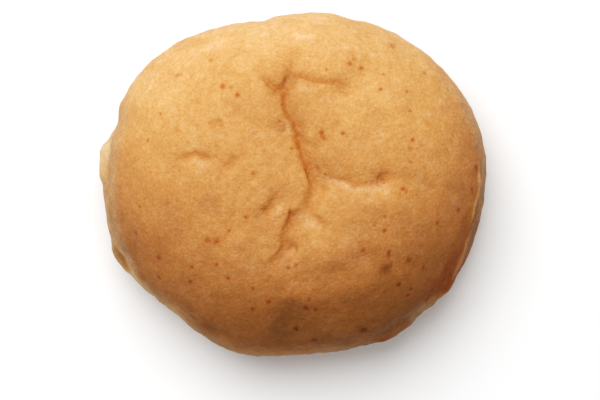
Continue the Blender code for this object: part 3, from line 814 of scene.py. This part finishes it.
# How far the crust is baked and shaded, from 0, the palest, to 1: pale in an oval at the back,
# browner round it and towards the front, partly real browning and partly painted shade where the
# crust turns away from the light
def bakeAndShadeCrust(ragged):
    middleX, middleY = tints["paleMiddle"]
    along, across = turned(x - middleX, y - middleY, tints["paleTurn"])
    reach = np.hypot(along / tints["paleRadii"][0], across / tints["paleRadii"][1])
    bakeAndShade = tints["palestBake"] + tints["roundBakeAndShade"] * ease(reach, *tints["browningAndShadeStartEnd"])
    bakeAndShade -= tints["frontBakeAndShade"] * y / tints["halfDepth"]
    for spotX, spotY, size, strength in tints["toastAndShadingSpots"]:
        bakeAndShade += strength * bell(np.hypot(x - spotX, y - spotY), size)
    return np.clip(bakeAndShade + tints["bakeRagged"] * ragged, 0, 1)


# A tint of the side, from its strips along paths and its ovals on the wall
def tintSide(strips, ovals, ragged):
    mask = np.zeros(len(points))
    heights = z + fades["stripRagged"] * ragged
    below, above = fades["stripFade"]
    for stops, left, right, ends, strength, lowest in strips:
        line = strength * lineMask(plan, stops, left, right, ends, fades["stripPower"])
        mask = np.maximum(mask, line * ease(heights, lowest + below, lowest + above))
    outward = outside + fades["ovalStartRagged"] * ragged
    band = fades["ovalStartBand"]
    for middle, halfWidth, height, halfHeight, start, strength in ovals:
        reach = np.hypot(turnFrom(middle) / halfWidth, (z - height) / halfHeight)
        oval = strength * bell(reach * (1 + fades["ovalRagged"] * ragged), 1)
        mask = np.maximum(mask, oval * ease(outward, start - band, start + band))
    return mask


# The flank outside the crown's edge, and the whole underside
def tintFlank(ragged):
    crisp = sector(*fades["crispSector"])
    atBack = sector(*fades["backSector"])
    band = crownEdge["softBand"] + (crownEdge["crispBand"] - crownEdge["softBand"]) * crisp
    start = fades["flankStart"] + fades["flankLater"] * atBack
    uneven = fades["flankRagged"] * ragged + layered(fades["flankWaves"])
    flank = ease(outside - start + uneven * (1 - crisp), -band, band)
    return flank * (1 - fades["flankBackShare"] * atBack)


def makeMasks():
    masks = {}
    ragged = layered(fades["raggedWaves"])
    lowStart = fades["lowHeight"] + sum(rise(*each) for each in fades["lowRises"])
    paleStart = lowStart + rise(*fades["paleRise"])
    uneven = fades["lowRagged"] * ragged - z
    pale = ease(paleStart + uneven, *fades["paleFade"])
    # These masks hold painted shade and painted highlights besides the crust's own colour
    masks["bakeAndShade"] = bakeAndShadeCrust(ragged) * (1 - fades["paleShare"] * pale)
    masks["low"] = ease(lowStart + uneven, *fades["lowFade"])
    masks["caramelAndShade"] = np.clip(caramelAndShade, 0, 1)
    for name, ovals in tints["sides"].items():
        masks[name] = tintSide(tints["strips"].get(name, []), ovals, ragged)
    masks["ear"] *= 1 - fades["edgeOverEar"] * np.minimum(masks["edge"], 1)
    flank = tintFlank(ragged) * (1 - np.minimum(masks["ear"], 1))
    masks["flank"] = np.maximum(flank, 1 - ease(normals[:, 2], *fades["underFacing"]))
    tree = makeTree(shaped)
    masks["freckle"] = paintSpots(tree, onSkin(tints["freckles"], tints["freckleGain"]))
    masks["stretchedAndHighlight"] = np.maximum(stretchedAndHighlight, paintSpots(tree, onSkin(tints["paleAndHighlightSpots"])))
    draw = np.random.default_rng(tints["seed"])
    onCrown = (outside < -tints["looseInside"]) & (z > tints["looseHeight"])
    onCrown &= y - tints["looseLean"] * x < tints["looseBack"]
    chosen = draw.choice(np.nonzero(onCrown)[0], tints["looseFreckles"], replace=False)
    radii, strengths = tints["looseRadii"], tints["looseStrengths"]
    loose = [(shaped[index], draw.uniform(*radii), draw.uniform(*strengths)) for index in chosen]
    masks["blush"] = paintSpots(tree, loose)
    return masks


for name, mask in makeMasks().items():
    values = mask.astype(np.float32)
    mesh.attributes.new(name, "FLOAT", "POINT").data.foreach_set("value", values)
print("masks made")

# The crust's colours, linear: the ramp from the palest crust to the brownest, whose browner end
# also serves as painted shade towards the front, and the tints over it. The caramel tint is also
# painted shade in the creases, the stretched tint also a painted highlight on the lips, the cream
# tint also a painted highlight on the right rim, and the ear tint also painted shade in the groove
# under the ear. Textures: scale, detail, roughness and distortion. Grains: strength for each of
# the three textures, and how far full strength darkens or lightens red, green and blue.
look = {
    "bakeAndShadeRamp": [(0.0, (0.70, 0.375, 0.152)), (0.13, (0.60, 0.280, 0.100)),
              (0.26, (0.52, 0.227, 0.078)), (0.48, (0.40, 0.167, 0.057)),
              (0.79, (0.28, 0.113, 0.035)), (1.0, (0.22, 0.092, 0.029))],
    "bakeMottle": (0.35, 0.65, -0.05, 0.05),
    "caramelAndShadeTint": (0.74, 0.55, 0.37),
    "stretchedAndHighlightTint": (1.2, 1.5, 2.2),
    "flankTint": (1.0, 1.2, 1.55),
    "creamAndHighlightTint": (1.75, 2.2, 2.45),
    "edgeTint": (1.55, 1.55, 1.4),
    "lowTint": (1.0, 1.15, 1.4),
    "earTint": (0.93, 0.66, 0.38),
    "freckleTint": (0.7, 0.42, 0.28),
    "blushStrength": 0.5,
    "speckTint": (1.2, 1.45, 1.9),
    "mottle": (220, 3.0, 0.6, 0.4),
    "medium": (700, 2.0, 0.6, 0.0),
    "fine": (1900, 2.0, 0.6, 0.0),
    "grainStrengths": (0.8, 1.5, 2.7),
    "grainRange": (0.3, 0.7),
    "grainColors": (0.03, 0.05, 0.09),
    "patches": (420, 3.0, 0.65, 0.6),
    "patchRange": (0.5, 0.72),
    "patchStrength": 0.4,
    "bubbleScale": 900,
    "bubbleChoice": (0.6, 0.75),
    "bubbleEdge": (0.25, 0.1),
    "bubbleStrength": 0.3,
    "roughnesses": (0.51, 0.62),
    "specular": 0.1,
    "leatherScale": 1500,
    "leatherSmoothness": 0.7,
    "leatherShare": 0.6,
    "pores": (2600, 3.0, 0.6, 0.0),
    "bumpStrength": 0.8,
    "bumpDistance": 0.17 * mm,
}


def makeCrustMaterial():
    material = bpy.data.materials.new("crust")
    material.use_nodes = True
    nodes = material.node_tree.nodes
    links = material.node_tree.links
    shader = nodes["Principled BSDF"]
    coordinates = nodes.new("ShaderNodeTexCoord").outputs["Object"]

    def read(name):
        node = nodes.new("ShaderNodeAttribute")
        node.attribute_name = name
        return node.outputs["Fac"]

    def fill(node, keys, values):
        for key, value in zip(keys, values):
            if isinstance(value, (int, float)):
                node.inputs[key].default_value = value
            elif isinstance(value, tuple):
                node.inputs[key].default_value = (*value, 1)
            else:
                links.new(value, node.inputs[key])

    def combine(operation, first, second, clamp=False):
        node = nodes.new("ShaderNodeMath")
        node.operation = operation
        node.use_clamp = clamp
        fill(node, (0, 1), (first, second))
        return node.outputs[0]

    def mix(factor, first, second, blend="MIX"):
        node = nodes.new("ShaderNodeMix")
        node.data_type = "RGBA"
        node.blend_type = blend
        keys = [key for key, socket in enumerate(node.inputs) if socket.enabled]
        fill(node, keys, (factor, first, second))
        return [socket for socket in node.outputs if socket.enabled][0]

    def texture(name):
        node = nodes.new("ShaderNodeTexNoise")
        keys = ("Vector", "Scale", "Detail", "Roughness", "Distortion")
        fill(node, keys, (coordinates, *look[name]))
        return node.outputs["Fac"]

    def cells(scale, feature):
        node = nodes.new("ShaderNodeTexVoronoi")
        node.feature = feature
        fill(node, ("Vector", "Scale"), (coordinates, scale))
        return node

    def spread(value, *limits):
        node = nodes.new("ShaderNodeMapRange")
        keys = ("Value", "From Min", "From Max", "To Min", "To Max")
        fill(node, keys, (value, *limits))
        return node.outputs["Result"]

    # The ramp of bakes and painted shade, a little mottled, and the tints over it, some of them
    # painted shade and painted highlights
    grains = [texture(name) for name in ("mottle", "medium", "fine")]
    mottle = grains[0]
    ramp = nodes.new("ShaderNodeValToRGB")
    ramp.color_ramp.elements[0].position = 0
    ramp.color_ramp.elements[1].position = 1
    for position, _ in look["bakeAndShadeRamp"][1:-1]:
        ramp.color_ramp.elements.new(position)
    for element, (_, rampColor) in zip(ramp.color_ramp.elements, look["bakeAndShadeRamp"]):
        element.color = (*rampColor, 1)
    bakeAndShade = combine("ADD", read("bakeAndShade"), spread(mottle, *look["bakeMottle"]), True)
    links.new(bakeAndShade, ramp.inputs["Fac"])
    color = ramp.outputs["Color"]
    for name in ("caramelAndShade", "stretchedAndHighlight", "flank", "low", "creamAndHighlight", "edge", "ear", "freckle"):
        color = mix(read(name), color, look[name + "Tint"], "MULTIPLY")
    blush = combine("MULTIPLY", read("blush"), look["blushStrength"])
    color = mix(blush, color, look["freckleTint"], "MULTIPLY")

    # Pale patches and small pale specks
    patches = spread(texture("patches"), *look["patchRange"])
    patches = combine("MULTIPLY", patches, look["patchStrength"])
    color = mix(patches, color, look["speckTint"], "MULTIPLY")
    bubbles = cells(look["bubbleScale"], "F1")
    picked = spread(bubbles.outputs["Color"], *look["bubbleChoice"])
    speck = spread(bubbles.outputs["Distance"], *look["bubbleEdge"])
    speck = combine("MULTIPLY", combine("MULTIPLY", speck, picked), look["bubbleStrength"])
    color = mix(speck, color, look["speckTint"], "MULTIPLY")

    # The fine grain of the colour
    for grain, strength in zip(grains, look["grainStrengths"]):
        darker = tuple(1 - amount * strength for amount in look["grainColors"])
        lighter = tuple(1 + amount * strength for amount in look["grainColors"])
        grainColor = mix(spread(grain, *look["grainRange"]), darker, lighter)
        color = mix(1.0, color, grainColor, "MULTIPLY")
    links.new(color, shader.inputs["Base Color"])
    shader.inputs["Specular IOR Level"].default_value = look["specular"]
    roughness = spread(mottle, *look["grainRange"], *look["roughnesses"])
    links.new(roughness, shader.inputs["Roughness"])

    # The leathery surface of the crust, with its pores
    leather = cells(look["leatherScale"], "SMOOTH_F1")
    leather.inputs["Smoothness"].default_value = look["leatherSmoothness"]
    height = combine("MULTIPLY", leather.outputs["Distance"], look["leatherShare"])
    height = combine("ADD", height, texture("pores"))
    bump = nodes.new("ShaderNodeBump")
    keys = ("Strength", "Distance", "Height")
    fill(bump, keys, (look["bumpStrength"], look["bumpDistance"], height))
    links.new(bump.outputs["Normal"], shader.inputs["Normal"])
    return material


mesh.materials.append(makeCrustMaterial())
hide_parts("bun")
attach(crust, "root")
print("crust finished,", len(mesh.vertices), "vertices")

# The floor, the light and the camera, with the tone curve of a photograph: dark tones a little
# deeper, middle ones lifted, the lightest held back. The light's turn is in degrees to the left
# from the back, and its height in degrees above the floor.
stage = {
    "floorSize": 3.0,
    "floorColor": (0.93, 0.93, 0.93, 1),
    "floorRoughness": 0.9,
    "floorSpecular": 0.1,
    "lightTurn": 22,
    "lightHeight": 62,
    "lightDistance": 0.9,
    "lightSize": 0.75,
    "lightPower": 8.0,
    "skyColor": (1, 1, 1, 1),
    "skyStrength": 0.4,
    "lens": 135,
    "sensorWidth": 36,
    "nearest": 0.01,
    "frameWidth": 126.0 * mm,
    "viewHeight": 11.0 * mm,
    "cameraSpot": (1.37 * mm, -3.15 * mm),
    "toneCurve": [(0.0186, 0.008), (0.046, 0.03), (0.0745, 0.06), (0.1225, 0.12), (0.181, 0.2),
                  (0.252, 0.3), (0.368, 0.45), (0.508, 0.6), (0.677, 0.75), (0.866, 0.9)],
}


def makeFloor():
    deselectAll()
    bpy.ops.mesh.primitive_plane_add(size=stage["floorSize"])
    floor = bpy.context.object
    floor.name = "floor"
    material = bpy.data.materials.new("floor paper")
    material.use_nodes = True
    shader = material.node_tree.nodes["Principled BSDF"]
    shader.inputs["Base Color"].default_value = stage["floorColor"]
    shader.inputs["Roughness"].default_value = stage["floorRoughness"]
    shader.inputs["Specular IOR Level"].default_value = stage["floorSpecular"]
    floor.data.materials.append(material)


def makeLight():
    turn = math.radians(90 + stage["lightTurn"])
    height = math.radians(stage["lightHeight"])
    level = math.cos(height)
    away = Vector((math.cos(turn) * level, math.sin(turn) * level, math.sin(height)))
    deselectAll()
    bpy.ops.object.light_add(type="AREA", location=away * stage["lightDistance"])
    lamp = bpy.context.object
    lamp.name = "window light"
    lamp.data.shape = "DISK"
    lamp.data.size = stage["lightSize"]
    lamp.data.energy = stage["lightPower"]
    lamp.rotation_euler = away.to_track_quat("Z", "Y").to_euler()
    world = bpy.data.worlds.new("studio")
    world.use_nodes = True
    sky = world.node_tree.nodes["Background"]
    sky.inputs["Color"].default_value = stage["skyColor"]
    sky.inputs["Strength"].default_value = stage["skyStrength"]
    bpy.context.scene.world = world


def makeCamera():
    distance = stage["lens"] / stage["sensorWidth"] * stage["frameWidth"]
    spotX, spotY = stage["cameraSpot"]
    spot = (spotX, spotY, stage["viewHeight"] + distance)
    deselectAll()
    bpy.ops.object.camera_add(location=spot, rotation=(0, 0, 0))
    camera = bpy.context.object
    camera.name = "camera"
    camera.data.lens = stage["lens"]
    camera.data.sensor_width = stage["sensorWidth"]
    camera.data.clip_start = stage["nearest"]
    bpy.context.scene.camera = camera
    view = bpy.context.scene.view_settings
    view.view_transform = "Standard"
    view.look = "None"
    view.use_curve_mapping = True
    for tone in stage["toneCurve"]:
        view.curve_mapping.curves[3].points.new(*tone)
    view.curve_mapping.update()


makeFloor()
makeLight()
makeCamera()
print("stage set")
